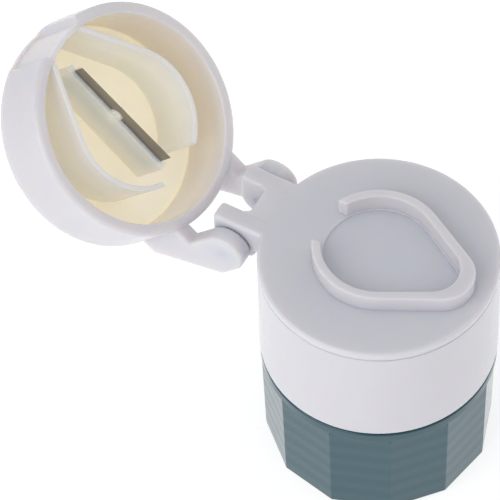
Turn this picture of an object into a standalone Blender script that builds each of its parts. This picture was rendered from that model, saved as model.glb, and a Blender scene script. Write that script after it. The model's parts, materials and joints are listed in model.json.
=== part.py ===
"""Pill splitter with a screw-down crusher: a hinged blade lid over a cutter table on a
hollow white body, and a twelve-sided crusher cup that the whole head screws into.

Frame: +Z up, origin at the centre of the cup's flat underside, lid hinge towards +Y.
Lengths below are in millimetres; MM turns them into metres.
"""
import math

import bmesh
import bpy
from mathutils import Matrix, Vector

MM = 0.001
CLEAR = 0.3            # gap between pieces that touch or slide on each other
EMBED = 0.4            # how far a joined shape reaches into the one it grows from
PAST = 1.0             # how far a cutter runs past what it cuts
ROUND_STEPS = 72       # facets round a turned piece that shows
INNER_STEPS = 48       # facets round one that is hidden inside

# White body
BODY_R = 22.5
BODY_WALL = 2.3
BODY_GAP = 0.6         # daylight between the cup's collar and the body
BODY_FLOOR = 2.0
BODY_HEIGHT = 24.0
BODY_EDGE = 0.25
BODY_CORNER = 1.5
SLOT_REACH = 4.0       # lug slots start this far inside the body's bore
SPIGOT_WALL = 1.6
SPIGOT_DEPTH = 5.0

# Crusher cup
CUP_SIDES = 12
CUP_TURN = 4.7         # degrees from +X to a corner of the cup
CUP_HEIGHT = 26.3
CUP_COLLAR = 2.2       # plain round band above the flats
CUP_COLLAR_STEP = 0.5  # band's radius is this much under the body's
CUP_CORNER_STEP = 0.2  # corners of the flats, likewise
CUP_DRAFT = 0.5        # corners are this much further in at the base
CUP_WALL = 2.9         # at the middle of a flat
CUP_FLOOR = 2.6
CUP_EDGE = 0.6         # rounding of the flats' edges
CUP_COLLAR_SLOPE = 1.2  # collar's hidden underside leans in by this much
BORE_CORNER = 1.0
GRIND_RIBS = 8
GRIND_RIB_HEIGHT = 0.6
GRIND_RIB_WIDTH = 1.0
GRIND_RIB_START = 2.5  # distance from the axis
GRIND_RIB_END = 2.0    # distance from the bore's wall

# Thread between the cup and the crusher screw
THREAD_PITCH = 4.0
THREAD_DEPTH = 1.3
THREAD_ROOT = 1.9      # width of a ridge where it leaves the wall
THREAD_CREST = 1.0
THREAD_STEPS = 24      # facets in one turn
SCREW_TURNS = 3.25
CUP_THREAD_TURNS = 1.25

# Crusher screw and its free-turning press foot
SCREW_WALL = 2.0
SCREW_BOTTOM = 7.2
SCREW_END = 2.0        # thickness of the closed end
SCREW_EDGE = 0.6
FOOT_THICK = 3.0
FOOT_EDGE = 0.5
STEM_R = 3.0
STEM_GROOVE = 1.0
STEM_TIP = 1.4
STEM_EDGE = 0.5
CLIP_THICK = 0.8
CLIP_R = 5.4
CLIP_MOUTH = 0.8       # half the mouth, as a share of the clip's own bore radius

# Cutter table
TABLE_THICK = 1.5
TABLE_FILLET = 1.1
TABLE_SINK = 0.05      # web's top is this far under the plate's
SKIRT_WALL = 1.5
SKIRT_DEPTH = 5.0
FENCE_R = 12.4         # outside of the fence round the pill pocket
FENCE_TIP_R = 6.2
FENCE_TIP_Y = 13.2     # distance from the body's axis to the centre of the tip's round
FENCE_WALL = 1.7
FENCE_TIP_WALL = 3.1
FENCE_HEIGHT = 3.7
FENCE_GAP = 4.9        # half the opening on the hinge side
POCKET_DEPTH = 0.4

# Hinge
HINGE_OUT = 4.9        # from the body's side to the axis
HINGE_DROP = 5.5       # axis below the table's top
KNUCKLE_R = 4.2
LUG_R = 4.1
LUG_INNER = 3.1
LUG_WIDTH = 3.9
WEB_REACH = 3.2        # plate between the lugs, from the body's side
LUG_TAIL = 8.0         # lug's lower edge at the body, below the table's top
KNUCKLE_GAP = 0.5      # between a lug and the lid's arm beside it
KNUCKLE_WIDTH = 3.2
PIN_R = 0.9
PIN_SINK = 1.1         # pin ends this far inside the arm's outer face
LID_OPEN = 137.5       # degrees of opening at the stop

# Lid
LID_INSET = 0.2        # lid's side is this far inside the body's
LID_WALL = 2.3
LID_HEIGHT = 13.8
LID_TOP = 1.2
LID_FILLET = 2.4
LID_RIM_ROUND = 0.6
LID_CORNER = 0.5
GUIDE_CLEAR = 0.4      # between the table's fence and the lid's guide walls
GUIDE_WALL = 1.0
GUIDE_GAP = 6.0
GUIDE_STOP = 0.2       # guide's end stays this far inside the notch's wall
NOTCH_HALF = 5.5
NOTCH_DEPTH = 1.2
NOTCH_LIP = 0.5        # closed end stands this far out from the notch's wall
ARM_TOP = 2.0          # arm starts this far below the lid's closed end
ARM_REACH = 6.1        # from the hinge axis to the arm's sloping back
ARM_SLOPE = 34.2       # degrees of the back's normal above the table
ARM_HEEL_R = 2.6

# Blade, its rib and its clamp
BLADE_LENGTH = 24.2
BLADE_MID_Y = -1.7
BLADE_HEIGHT = 8.6
BLADE_THICK = 0.3
BLADE_BEVEL = 1.1
BLADE_RISE = 1.0       # cutting edge above the lid's rim
BLADE_SHOWS = 3.1      # height of blade that stands out of the rib
RIB_WALL = 0.8
RIB_END = 0.9
CLAMP_WALL = 1.0
PEG_R = 1.4
PEG_OFFSET = 0.45      # peg's axis from the blade's middle, away from the hinge
PEG_RISE = 0.4         # peg's axis from the rib's edge, towards the lid's closed end

# Sizes and heights that follow from the ones above
CUP_FACET_TOP = CUP_HEIGHT - CUP_COLLAR
CUP_COLLAR_R = BODY_R - CUP_COLLAR_STEP
CUP_CORNER_TOP = BODY_R - CUP_CORNER_STEP
CUP_CORNER_BASE = CUP_CORNER_TOP - CUP_DRAFT
CUP_BORE_R = round(CUP_CORNER_TOP * math.cos(math.pi / CUP_SIDES) - CUP_WALL, 1)
SCREW_CORE_R = CUP_BORE_R - THREAD_DEPTH - CLEAR
SCREW_BORE_R = SCREW_CORE_R - SCREW_WALL
SCREW_THREAD_BOTTOM = SCREW_BOTTOM + THREAD_ROOT
THREAD_ROOM = (CUP_HEIGHT - THREAD_ROOT - SCREW_THREAD_BOTTOM) / THREAD_PITCH
CUP_THREAD_LEAD = math.floor(THREAD_ROOM - CUP_THREAD_TURNS - 0.5) + 0.5
FOOT_TOP = SCREW_BOTTOM - CLEAR
FOOT_R = SCREW_CORE_R - CLEAR
STEM_HOLE_R = STEM_R + CLEAR
BODY_BASE = CUP_HEIGHT + BODY_GAP
BODY_TOP = BODY_BASE + BODY_HEIGHT
BODY_BORE_R = BODY_R - BODY_WALL
SCREW_TOP = BODY_BASE - CLEAR
SKIRT_R = BODY_BORE_R - CLEAR
TABLE_BASE = BODY_TOP + CLEAR
TABLE_TOP = TABLE_BASE + TABLE_THICK
FENCE_SLOPE = math.asin((FENCE_R - FENCE_TIP_R) / FENCE_TIP_Y)
HINGE_Y = BODY_R + HINGE_OUT
HINGE_Z = TABLE_TOP - HINGE_DROP
LUG_OUTER = LUG_INNER + LUG_WIDTH
KNUCKLE_INNER = LUG_OUTER + KNUCKLE_GAP
KNUCKLE_OUTER = KNUCKLE_INNER + KNUCKLE_WIDTH
LID_R = BODY_R - LID_INSET
LID_RIM = TABLE_TOP + CLEAR
LID_CLOSED_TOP = LID_RIM + LID_HEIGHT
LID_CEILING = LID_CLOSED_TOP - LID_TOP
ARM_ROOT_Y = math.sqrt((LID_R - EMBED) ** 2 - KNUCKLE_OUTER ** 2)
BLADE_EDGE = LID_RIM + BLADE_RISE
BLADE_LOW = BLADE_MID_Y - BLADE_LENGTH / 2.0
BLADE_HIGH = BLADE_MID_Y + BLADE_LENGTH / 2.0
RIB_EDGE = BLADE_EDGE + BLADE_SHOWS
PEG_SPOT = (BLADE_MID_Y - PEG_OFFSET, RIB_EDGE + PEG_RISE)


# ---------------------------------------------------------------- scene set-up
def clear_scene():
    for obj in list(bpy.data.objects):
        bpy.data.objects.remove(obj, do_unlink=True)


def new_collection(name):
    collection = bpy.data.collections.new(name)
    bpy.context.scene.collection.children.link(collection)
    return collection


def material(name, rgb, roughness, metallic=0.0):
    """Principled material in the piece's own colour."""
    mat = bpy.data.materials.new(name)
    mat.use_nodes = True
    mat.diffuse_color = (*rgb, 1.0)
    shader = mat.node_tree.nodes["Principled BSDF"]
    shader.inputs["Base Color"].default_value = (*rgb, 1.0)
    shader.inputs["Roughness"].default_value = roughness
    shader.inputs["Metallic"].default_value = metallic
    return mat


clear_scene()
PARTS = new_collection("pill_splitter")
CUTTERS = new_collection("cutters")


# ---------------------------------------------------------------- shape tools
def link(name, mesh, mat=None, parent=None):
    """Object of a mesh drawn in whole-model millimetres; a lid piece rides on its empty."""
    mesh.transform(Matrix.Scale(MM, 4))
    obj = bpy.data.objects.new(name, mesh)
    if mat is None:
        CUTTERS.objects.link(obj)
        obj.hide_render = True
        obj.display_type = "WIRE"
    else:
        PARTS.objects.link(obj)
        mesh.materials.append(mat)
    if parent is not None:
        obj.parent = parent
        obj.location = -parent.location
    return obj


def arc(cx, cy, radius, start, end, steps):
    """Points on an arc from start to end degrees, both ends included."""
    angles = [math.radians(start + (end - start) * i / steps) for i in range(steps + 1)]
    return [(cx + radius * math.cos(a), cy + radius * math.sin(a)) for a in angles]


def slab_mesh(outline, low, high):
    """Flat outline in XY, filled and thickened from low to high."""
    curve = bpy.data.curves.new("outline", "CURVE")
    curve.dimensions = "2D"
    curve.fill_mode = "BOTH"
    curve.extrude = (high - low) / 2.0
    spline = curve.splines.new("POLY")
    spline.points.add(len(outline) - 1)
    for point, (x, y) in zip(spline.points, outline):
        point.co = (x, y, 0.0, 1.0)
    spline.use_cyclic_u = True
    holder = bpy.data.objects.new("outline", curve)
    CUTTERS.objects.link(holder)
    graph = bpy.context.evaluated_depsgraph_get()
    mesh = bpy.data.meshes.new_from_object(holder.evaluated_get(graph))
    bpy.data.objects.remove(holder)
    bpy.data.curves.remove(curve)
    clean = bmesh.new()
    clean.from_mesh(mesh)
    bmesh.ops.remove_doubles(clean, verts=clean.verts, dist=1e-4)
    bmesh.ops.recalc_face_normals(clean, faces=clean.faces)
    clean.to_mesh(mesh)
    clean.free()
    mesh.transform(Matrix.Translation((0.0, 0.0, (low + high) / 2.0)))
    return mesh


def side_slab_mesh(outline, low, high):
    """Outline drawn in (y, z), thickened along x from low to high."""
    mesh = slab_mesh(outline, low, high)
    mesh.transform(Matrix(((0, 0, 1, 0), (1, 0, 0, 0), (0, 1, 0, 0), (0, 0, 0, 1))))
    return mesh


def box_mesh(low, high):
    solid = bmesh.new()
    bmesh.ops.create_cube(solid, size=1.0)
    size = [b - a for a, b in zip(low, high)]
    middle = [(a + b) / 2.0 for a, b in zip(low, high)]
    bmesh.ops.scale(solid, vec=size, verts=solid.verts)
    bmesh.ops.translate(solid, vec=middle, verts=solid.verts)
    mesh = bpy.data.meshes.new("box")
    solid.to_mesh(mesh)
    solid.free()
    return mesh


def rod_mesh(radius, low, high, centre, axis="Z", steps=32):
    """Cylinder along an axis; centre gives the other two coordinates."""
    solid = bmesh.new()
    bmesh.ops.create_cone(solid, cap_ends=True, segments=steps, radius1=radius,
                          radius2=radius, depth=high - low)
    mesh = bpy.data.meshes.new("rod")
    solid.to_mesh(mesh)
    solid.free()
    if axis == "X":
        mesh.transform(Matrix.Rotation(math.pi / 2.0, 4, "Y"))
        mesh.transform(Matrix.Translation(((low + high) / 2.0, *centre)))
    else:
        mesh.transform(Matrix.Translation((*centre, (low + high) / 2.0)))
    return mesh


def turned(name, profile, mat=None, closed=False, steps=ROUND_STEPS, **place):
    """Profile of (radius, z), run down its outer side, turned round Z by a Screw modifier."""
    mesh = bpy.data.meshes.new(name)
    points = [(r, 0.0, z) for r, z in profile]
    edges = [(i, i + 1) for i in range(len(points) - 1)]
    if closed:
        edges.append((len(points) - 1, 0))
    mesh.from_pydata(points, edges, [])
    obj = link(name, mesh, mat, **place)
    screw = obj.modifiers.new("turn", "SCREW")
    screw.axis = "Z"
    screw.steps = steps
    screw.render_steps = steps
    screw.use_smooth_shade = True
    screw.use_merge_vertices = True
    screw.merge_threshold = 1e-6
    return obj


def joined(obj, other):
    boolean = obj.modifiers.new("join_" + other.name, "BOOLEAN")
    boolean.operation = "UNION"
    boolean.object = other


def cut(obj, other):
    boolean = obj.modifiers.new("cut_" + other.name, "BOOLEAN")
    boolean.operation = "DIFFERENCE"
    boolean.object = other


def smooth_rounds(mesh):
    """Round stretches shade smooth, edges over 32 degrees stay sharp."""
    mesh.shade_smooth()
    mesh.set_sharp_from_angle(angle=math.radians(32.0))


def thread_ridge(name, wall_r, crest_r, bottom, turns):
    """Helical ridge from inside the wall to its crest, tapering out at both ends."""
    outward = 1.0 if crest_r > wall_r else -1.0
    root_r = wall_r - outward * EMBED
    taper = THREAD_STEPS // 4
    count = round(turns * THREAD_STEPS)
    solid = bmesh.new()
    rings = []
    for i in range(count + 1):
        angle = 2.0 * math.pi * i / THREAD_STEPS
        z = bottom + THREAD_PITCH * i / THREAD_STEPS
        fade = min(1.0, (i + 1) / taper, (count + 1 - i) / taper)
        crest = wall_r + (crest_r - wall_r) * fade
        half_root = THREAD_ROOT / 2.0
        half_crest = half_root + (THREAD_CREST / 2.0 - half_root) * fade
        section = ((root_r, -half_root), (wall_r, -half_root), (crest, -half_crest),
                   (crest, half_crest), (wall_r, half_root), (root_r, half_root))
        ring = [solid.verts.new((r * math.cos(angle), r * math.sin(angle), z + dz))
                for r, dz in section]
        rings.append(ring)
    for ring, nxt in zip(rings, rings[1:]):
        for k in range(len(ring)):
            m = (k + 1) % len(ring)
            solid.faces.new((ring[k], ring[m], nxt[m], nxt[k]))
    solid.faces.new(rings[0])
    solid.faces.new(rings[-1])
    bmesh.ops.recalc_face_normals(solid, faces=solid.faces)
    mesh = bpy.data.meshes.new(name)
    solid.to_mesh(mesh)
    solid.free()
    return link(name, mesh)


def fence_side(radius, reach):
    """Right half of the fence's line: round stretch, then the straight run to the tip."""
    slope = math.degrees(FENCE_SLOPE)
    start = 90.0 - math.degrees(math.asin(GUIDE_GAP / radius))
    points = arc(0.0, 0.0, radius, start, -slope, 24)
    run = (reach - radius * math.sin(FENCE_SLOPE)) / math.cos(FENCE_SLOPE)
    x, y = points[-1]
    points.append((x - run * math.sin(FENCE_SLOPE), y - run * math.cos(FENCE_SLOPE)))
    return points


def teardrop(radius, tip_radius, tip_y):
    """Closed outline: a circle on the axis and a smaller one towards -Y, with its tangents."""
    slope = math.degrees(math.asin((radius - tip_radius) / tip_y))
    points = arc(0.0, 0.0, radius, -slope, 180.0 + slope, 44)
    points += arc(0.0, -tip_y, tip_radius, 180.0 + slope, 360.0 - slope, 20)
    return points


# ---------------------------------------------------------------- crusher cup
def crusher_cup(mat):
    """Twelve-sided cup, slightly narrower at the base, with a plain collar and a bore."""
    solid = bmesh.new()
    bmesh.ops.create_cone(solid, cap_ends=True, segments=CUP_SIDES,
                          radius1=CUP_CORNER_BASE, radius2=CUP_CORNER_TOP,
                          depth=CUP_FACET_TOP)
    bmesh.ops.translate(solid, vec=(0.0, 0.0, CUP_FACET_TOP / 2.0), verts=solid.verts)
    bmesh.ops.rotate(solid, cent=(0.0, 0.0, 0.0), verts=solid.verts,
                     matrix=Matrix.Rotation(math.radians(CUP_TURN), 3, "Z"))
    mesh = bpy.data.meshes.new("crusher_cup")
    solid.to_mesh(mesh)
    solid.free()
    cup = link("crusher_cup", mesh, mat)
    bevel = cup.modifiers.new("edges", "BEVEL")
    bevel.width = CUP_EDGE * MM
    bevel.segments = 2
    bevel.limit_method = "ANGLE"
    bevel.angle_limit = math.radians(25.0)
    collar_base = CUP_FACET_TOP - 2.0 * CUP_EDGE
    edge = CUP_EDGE / 2.0
    collar = turned("cup_collar", [
        (0.0, CUP_HEIGHT), (CUP_COLLAR_R - edge, CUP_HEIGHT), (CUP_COLLAR_R, CUP_HEIGHT - edge),
        (CUP_COLLAR_R, CUP_FACET_TOP + 0.1), (CUP_COLLAR_R - CUP_COLLAR_SLOPE, collar_base),
        (0.0, collar_base)])
    joined(cup, collar)
    bore = turned("cup_bore", [
        (0.0, CUP_HEIGHT + PAST), (CUP_BORE_R, CUP_HEIGHT + PAST),
        (CUP_BORE_R, CUP_FLOOR + BORE_CORNER), (CUP_BORE_R - BORE_CORNER, CUP_FLOOR),
        (0.0, CUP_FLOOR)])
    cut(cup, bore)
    rib_in, rib_out = GRIND_RIB_START, CUP_BORE_R - GRIND_RIB_END
    for k in range(GRIND_RIBS):
        rib = box_mesh((rib_in, -GRIND_RIB_WIDTH / 2.0, CUP_FLOOR - EMBED),
                       (rib_out, GRIND_RIB_WIDTH / 2.0, CUP_FLOOR + GRIND_RIB_HEIGHT))
        rib.transform(Matrix.Rotation(2.0 * math.pi * (k + 0.5) / GRIND_RIBS, 4, "Z"))
        joined(cup, link(f"grind_rib_{k + 1}", rib))
    ridge = thread_ridge("cup_thread", CUP_BORE_R, CUP_BORE_R - THREAD_DEPTH,
                         SCREW_THREAD_BOTTOM + CUP_THREAD_LEAD * THREAD_PITCH, CUP_THREAD_TURNS)
    joined(cup, ridge)
    return cup


# ---------------------------------------------------------------- crusher screw
def crusher_screw(mat):
    """Hollow threaded plunger that hangs under the white body, open at the top."""
    end_top = SCREW_BOTTOM + SCREW_END
    screw = turned("crusher_screw", [
        (SCREW_CORE_R, SCREW_TOP), (SCREW_CORE_R, SCREW_BOTTOM + SCREW_EDGE),
        (SCREW_CORE_R - SCREW_EDGE, SCREW_BOTTOM), (STEM_HOLE_R, SCREW_BOTTOM),
        (STEM_HOLE_R, end_top), (SCREW_BORE_R - BORE_CORNER, end_top),
        (SCREW_BORE_R, end_top + BORE_CORNER), (SCREW_BORE_R, SCREW_TOP)], mat, closed=True,
        steps=INNER_STEPS)
    ridge = thread_ridge("screw_thread", SCREW_CORE_R, SCREW_CORE_R + THREAD_DEPTH,
                         SCREW_THREAD_BOTTOM, SCREW_TURNS)
    joined(screw, ridge)
    return screw


def press_foot(mat):
    """Disc under the screw that stays still while the screw turns on its stem."""
    foot_base = FOOT_TOP - FOOT_THICK
    clip_base = SCREW_BOTTOM + SCREW_END + CLEAR
    clip_top = clip_base + CLIP_THICK + 2.0 * CLEAR
    tip = clip_top + STEM_TIP
    return turned("press_foot", [
        (0.0, tip), (STEM_R - STEM_EDGE, tip), (STEM_R, tip - STEM_EDGE), (STEM_R, clip_top),
        (STEM_R - STEM_GROOVE, clip_top), (STEM_R - STEM_GROOVE, clip_base), (STEM_R, clip_base),
        (STEM_R, FOOT_TOP), (FOOT_R - FOOT_EDGE, FOOT_TOP), (FOOT_R, FOOT_TOP - FOOT_EDGE),
        (FOOT_R, foot_base + FOOT_EDGE), (FOOT_R - FOOT_EDGE, foot_base), (0.0, foot_base)], mat,
        steps=INNER_STEPS)


def foot_clip(mat):
    """Split washer in the stem's groove that keeps the foot on the screw."""
    base = SCREW_BOTTOM + SCREW_END + 2.0 * CLEAR
    bore = STEM_R - STEM_GROOVE + CLEAR
    clip = turned("foot_clip", [
        (CLIP_R, base + CLIP_THICK), (CLIP_R, base), (bore, base),
        (bore, base + CLIP_THICK)], mat, closed=True, steps=40)
    slot = box_mesh((0.0, -bore * CLIP_MOUTH, base - PAST),
                    (CLIP_R + PAST, bore * CLIP_MOUTH, base + CLIP_THICK + PAST))
    cut(clip, link("clip_mouth", slot))
    return clip


# ---------------------------------------------------------------- white body
def head_body(mat):
    """White hollow cylinder under the table; its spigot plugs into the crusher screw."""
    spigot_r = SCREW_BORE_R - CLEAR
    spigot_end = BODY_BASE - SPIGOT_DEPTH
    bore = BODY_BORE_R
    floor_top = BODY_BASE + BODY_FLOOR
    edge = BODY_EDGE
    body = turned("head_body", [
        (BODY_R - edge, BODY_TOP), (BODY_R, BODY_TOP - edge), (BODY_R, BODY_BASE + edge),
        (BODY_R - edge, BODY_BASE), (spigot_r, BODY_BASE), (spigot_r, spigot_end),
        (spigot_r - SPIGOT_WALL, spigot_end), (spigot_r - SPIGOT_WALL, BODY_BASE),
        (0.0, BODY_BASE), (0.0, floor_top), (bore - BODY_CORNER, floor_top),
        (bore, floor_top + BODY_CORNER), (bore, BODY_TOP)], mat, closed=True)
    for side in (-1, 1):
        low, high = sorted((side * (LUG_INNER - CLEAR), side * (LUG_OUTER + CLEAR)))
        slot = box_mesh((low, bore - SLOT_REACH, TABLE_BASE - SKIRT_DEPTH),
                        (high, BODY_R + PAST, BODY_TOP + PAST))
        word = "left" if side < 0 else "right"
        cut(body, link(f"lug_slot_{word}", slot))
    return body


# ---------------------------------------------------------------- cutter table
def lug_outline():
    """Lug in (y, z): square top corner level with the table, round below the pin."""
    near = BODY_R + CLEAR
    root = SKIRT_R - SKIRT_WALL
    shelf = TABLE_BASE - SKIRT_DEPTH + CLEAR
    points = [(root, TABLE_TOP - EMBED), (BODY_R - TABLE_FILLET, TABLE_TOP - EMBED)]
    points += [(BODY_R - TABLE_FILLET, TABLE_TOP), (HINGE_Y + LUG_R, TABLE_TOP)]
    points += arc(HINGE_Y, HINGE_Z, LUG_R, 0.0, -100.0, 14)
    points += [(near, TABLE_TOP - LUG_TAIL), (near, shelf), (root, shelf)]
    return points


def cutter_table(mat):
    """Top plate with its plug skirt, the teardrop fence, the pocket and the hinge lugs."""
    skirt_r = SKIRT_R
    skirt_end = TABLE_BASE - SKIRT_DEPTH
    fillet = [(BODY_R - TABLE_FILLET + x, TABLE_TOP - TABLE_FILLET + z)
              for x, z in arc(0.0, 0.0, TABLE_FILLET, 90.0, 0.0, 5)]
    table = turned("cutter_table", [(0.0, TABLE_TOP)] + fillet + [
        (BODY_R, TABLE_BASE), (skirt_r, TABLE_BASE), (skirt_r, skirt_end),
        (skirt_r - SKIRT_WALL, skirt_end), (skirt_r - SKIRT_WALL, TABLE_BASE),
        (0.0, TABLE_BASE)], mat)
    fence = slab_mesh(teardrop(FENCE_R, FENCE_TIP_R, FENCE_TIP_Y),
                      TABLE_TOP - EMBED, TABLE_TOP + FENCE_HEIGHT)
    joined(table, link("fence", fence))
    inner_r = FENCE_R - FENCE_WALL
    inner_tip_r = inner_r * FENCE_TIP_R / FENCE_R
    inner_tip_y = FENCE_TIP_Y + FENCE_TIP_R - FENCE_TIP_WALL - inner_tip_r
    pocket = slab_mesh(teardrop(inner_r, inner_tip_r, inner_tip_y),
                       TABLE_TOP - POCKET_DEPTH, TABLE_TOP + FENCE_HEIGHT + PAST)
    cut(table, link("pocket", pocket))
    gap = box_mesh((-FENCE_GAP, 0.0, TABLE_TOP),
                   (FENCE_GAP, FENCE_R + PAST, TABLE_TOP + FENCE_HEIGHT + PAST))
    cut(table, link("fence_gap", gap))
    for side in (-1, 1):
        low, high = sorted((side * LUG_INNER, side * LUG_OUTER))
        word = "left" if side < 0 else "right"
        joined(table, link(f"lug_{word}", side_slab_mesh(lug_outline(), low, high)))
    web = box_mesh((-LUG_INNER - EMBED, BODY_R - SKIRT_WALL, TABLE_BASE),
                   (LUG_INNER + EMBED, BODY_R + WEB_REACH, TABLE_TOP - TABLE_SINK))
    joined(table, link("lug_web", web))
    bore_end = LUG_OUTER + PAST
    bore = rod_mesh(PIN_R + CLEAR, -bore_end, bore_end, (HINGE_Y, HINGE_Z), "X")
    cut(table, link("lug_bore", bore))
    return table


# ---------------------------------------------------------------- lid
HINGE = (0.0, HINGE_Y, HINGE_Z)


def lid_axis():
    """Empty on the hinge axis; the lid pieces are drawn shut and turn open with it."""
    empty = bpy.data.objects.new("lid_axis", None)
    PARTS.objects.link(empty)
    empty.location = Vector(HINGE) * MM
    empty.rotation_euler = (-math.radians(LID_OPEN), 0.0, 0.0)
    return empty


def arm_outline():
    """Lid arm in (y, z), lid shut: knuckle round the pin, straight sloping back."""
    slope = math.radians(ARM_SLOPE)
    normal = (math.cos(slope), math.sin(slope))
    top = LID_CLOSED_TOP - ARM_TOP
    back_y = HINGE_Y + (ARM_REACH - normal[1] * (top - HINGE_Z)) / normal[0]
    outer = HINGE_Y + KNUCKLE_R
    corner_z = HINGE_Z + (ARM_REACH - normal[0] * KNUCKLE_R) / normal[1]
    heel_z = corner_z - math.tan(slope / 2.0) * ARM_HEEL_R
    points = [(ARM_ROOT_Y, top), (back_y, top)]
    points += arc(outer - ARM_HEEL_R, heel_z, ARM_HEEL_R, ARM_SLOPE, 0.0, 5)
    points += arc(HINGE_Y, HINGE_Z, KNUCKLE_R, 0.0, -180.0, 24)
    foot = LID_RIM + LID_RIM_ROUND
    points += [(HINGE_Y - KNUCKLE_R, foot), (ARM_ROOT_Y, foot)]
    return points


def lid_shell(mat, axis):
    """Round lid with its guide walls, blade rib, thumb notch and two hinge arms."""
    place = {"parent": axis}
    fillet = [(LID_R - LID_FILLET + x, LID_CLOSED_TOP - LID_FILLET + z)
              for x, z in arc(0.0, 0.0, LID_FILLET, 90.0, 0.0, 8)]
    inner = LID_R - LID_WALL
    edge = LID_RIM_ROUND
    shell = turned("lid_shell", [(0.0, LID_CLOSED_TOP)] + fillet + [
        (LID_R, LID_RIM + edge), (LID_R - edge, LID_RIM), (inner + edge, LID_RIM),
        (inner, LID_RIM + edge), (inner, LID_CEILING - LID_CORNER),
        (inner - LID_CORNER, LID_CEILING), (0.0, LID_CEILING)], mat, **place)
    wall_in = FENCE_R + GUIDE_CLEAR
    wall_out = wall_in + GUIDE_WALL
    reach = math.sqrt((LID_R - NOTCH_DEPTH) ** 2 - NOTCH_HALF ** 2) - GUIDE_STOP
    half = fence_side(wall_in, reach) + fence_side(wall_out, reach)[::-1]
    for side in (-1, 1):
        word = "left" if side < 0 else "right"
        outline = [(side * x, y) for x, y in half]
        guide = slab_mesh(outline, LID_RIM, LID_CEILING + EMBED)
        joined(shell, link(f"guide_{word}", guide, **place))
        low, high = sorted((side * (KNUCKLE_INNER), side * KNUCKLE_OUTER))
        arm = side_slab_mesh(arm_outline(), low, high)
        joined(shell, link(f"arm_{word}", arm, **place))
    back = -BLADE_THICK / 2.0 - CLEAR
    rib_low = BLADE_LOW - CLEAR - RIB_END
    rib_high = BLADE_HIGH + CLEAR + RIB_END
    rib = box_mesh((back - RIB_WALL, rib_low, RIB_EDGE), (back, rib_high, LID_CEILING + EMBED))
    joined(shell, link("rib", rib, **place))
    for word, low, high in (("front", rib_low, rib_low + RIB_END),
                            ("rear", rib_high - RIB_END, rib_high)):
        stop = box_mesh((back - EMBED, low, RIB_EDGE), (-back, high, LID_CEILING + EMBED))
        joined(shell, link(f"rib_stop_{word}", stop, **place))
    peg = rod_mesh(PEG_R, back - EMBED, -back + CLAMP_WALL, PEG_SPOT, "X", 24)
    joined(shell, link("peg", peg, **place))
    wall = LID_R - NOTCH_DEPTH
    lip = wall + NOTCH_LIP
    notch = turned("notch", [
        (LID_R + PAST, LID_CLOSED_TOP + PAST), (LID_R + PAST, LID_RIM - PAST),
        (wall, LID_RIM - PAST), (wall, LID_CEILING), (lip, LID_CEILING),
        (lip, LID_CLOSED_TOP + PAST)],
        closed=True, **place)
    around = 2.0 * PAST
    window = box_mesh((-NOTCH_HALF, -LID_R - around, LID_RIM - around),
                      (NOTCH_HALF, -LID_R / 2.0, LID_CLOSED_TOP + around))
    crop = notch.modifiers.new("window", "BOOLEAN")
    crop.operation = "INTERSECT"
    crop.object = link("notch_window", window, **place)
    cut(shell, notch)
    bore_end = KNUCKLE_OUTER - PIN_SINK + CLEAR
    bore = rod_mesh(PIN_R + CLEAR, -bore_end, bore_end, (HINGE_Y, HINGE_Z), "X")
    cut(shell, link("knuckle_bore", bore, **place))
    return shell


def blade(mat, axis):
    """Steel blade, sharpened along its lower edge, with a hole for the rib's peg."""
    half = BLADE_THICK / 2.0
    shoulder = BLADE_EDGE + BLADE_BEVEL
    spine = BLADE_EDGE + BLADE_HEIGHT
    section = [(0.0, BLADE_EDGE), (half, shoulder), (half, spine), (-half, spine),
               (-half, shoulder)]
    mesh = slab_mesh(section, BLADE_LOW, BLADE_HIGH)
    mesh.transform(Matrix(((1, 0, 0, 0), (0, 0, 1, 0), (0, 1, 0, 0), (0, 0, 0, 1))))
    mesh.flip_normals()
    obj = link("blade", mesh, mat, parent=axis)
    hole = rod_mesh(PEG_R + CLEAR, -PAST, PAST, PEG_SPOT, "X", 24)
    cut(obj, link("blade_hole", hole, parent=axis))
    return obj


def blade_clamp(mat, axis):
    """Plate that closes the rib on the blade's other side, staked over the peg."""
    face = BLADE_THICK / 2.0 + CLEAR
    plate = box_mesh((face, BLADE_LOW + CLEAR, RIB_EDGE),
                     (face + CLAMP_WALL, BLADE_HIGH - CLEAR, LID_CEILING - CLEAR))
    obj = link("blade_clamp", plate, mat, parent=axis)
    hole = rod_mesh(PEG_R + CLEAR, face - PAST, face + CLAMP_WALL + PAST, PEG_SPOT, "X", 24)
    cut(obj, link("clamp_hole", hole, parent=axis))
    return obj


def hinge_pin(side, mat, axis):
    """Pin pressed into a knuckle, on which the lid turns in the lug."""
    word = "left" if side < 0 else "right"
    outer = KNUCKLE_OUTER - PIN_SINK
    low, high = sorted((side * (LUG_INNER + CLEAR), side * outer))
    mesh = rod_mesh(PIN_R, low, high, (HINGE_Y, HINGE_Z), "X", 24)
    return link(f"hinge_pin_{word}", mesh, mat, parent=axis)


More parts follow.
